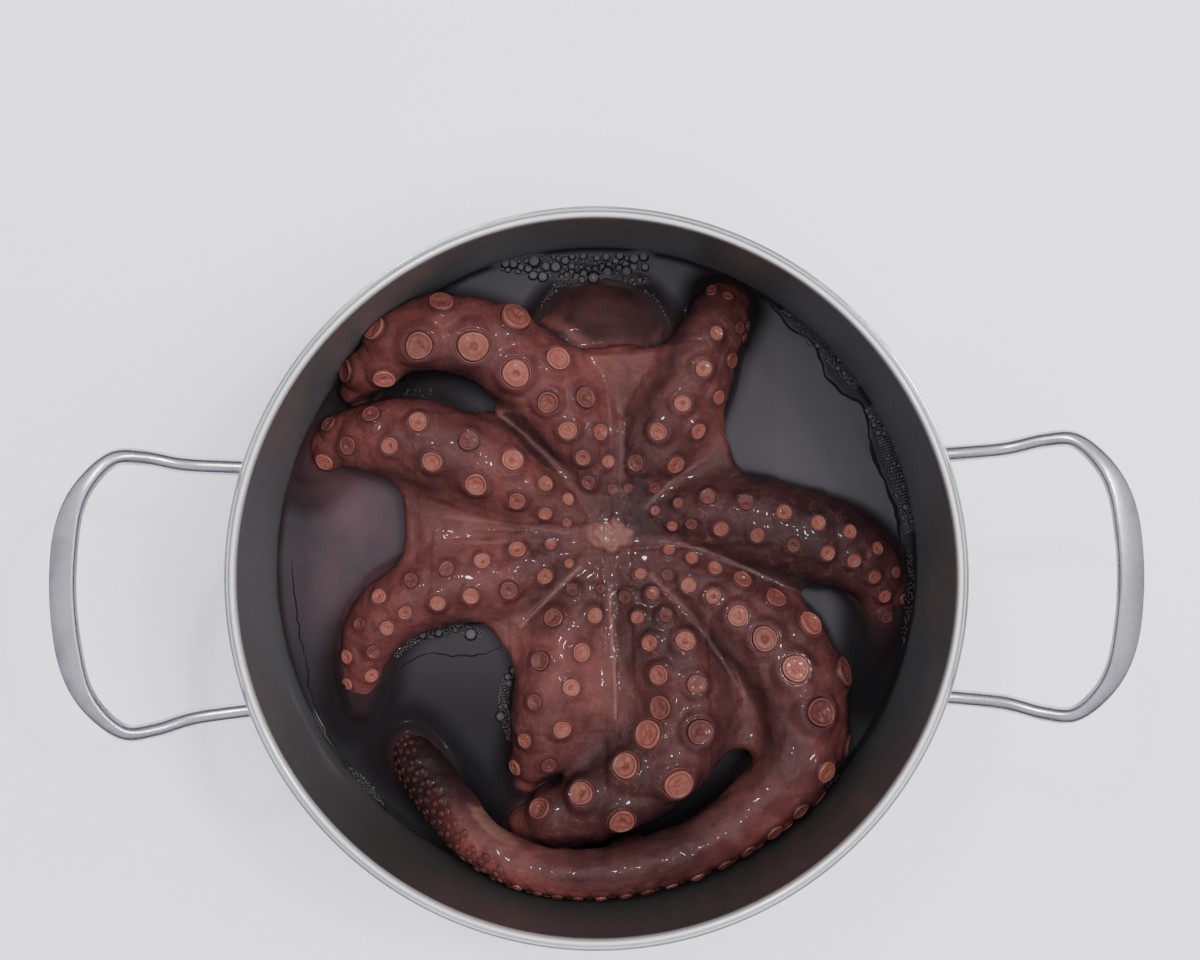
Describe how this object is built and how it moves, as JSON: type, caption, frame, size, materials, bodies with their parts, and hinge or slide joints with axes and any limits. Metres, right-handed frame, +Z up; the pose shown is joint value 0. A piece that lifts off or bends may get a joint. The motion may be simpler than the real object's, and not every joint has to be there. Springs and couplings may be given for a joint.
{
  "type": "cooked octopus in pot",
  "caption": "Cooked octopus lying mouth up in a two-handled steel pot of dark cooking liquid, arms curled round the wall.",
  "frame": {"origin": "centre of the pot's foot, on the surface it stands on", "axes": "+X through the two handles, +Y towards the octopus's head, +Z up"},
  "size_m": [0.369, 0.248, 0.14],
  "materials": {
    "steel": "satin, turned lines round the wall",
    "polished_steel": "polished",
    "broth": "dark still liquid, mirror smooth",
    "flesh": "wet cooked skin"
  },
  "bodies": {
    "root": {"pot": "steel", "handle_left": "polished_steel", "handle_right": "polished_steel", "broth": "broth", "octopus": "flesh"}
  },
  "joints": []
}
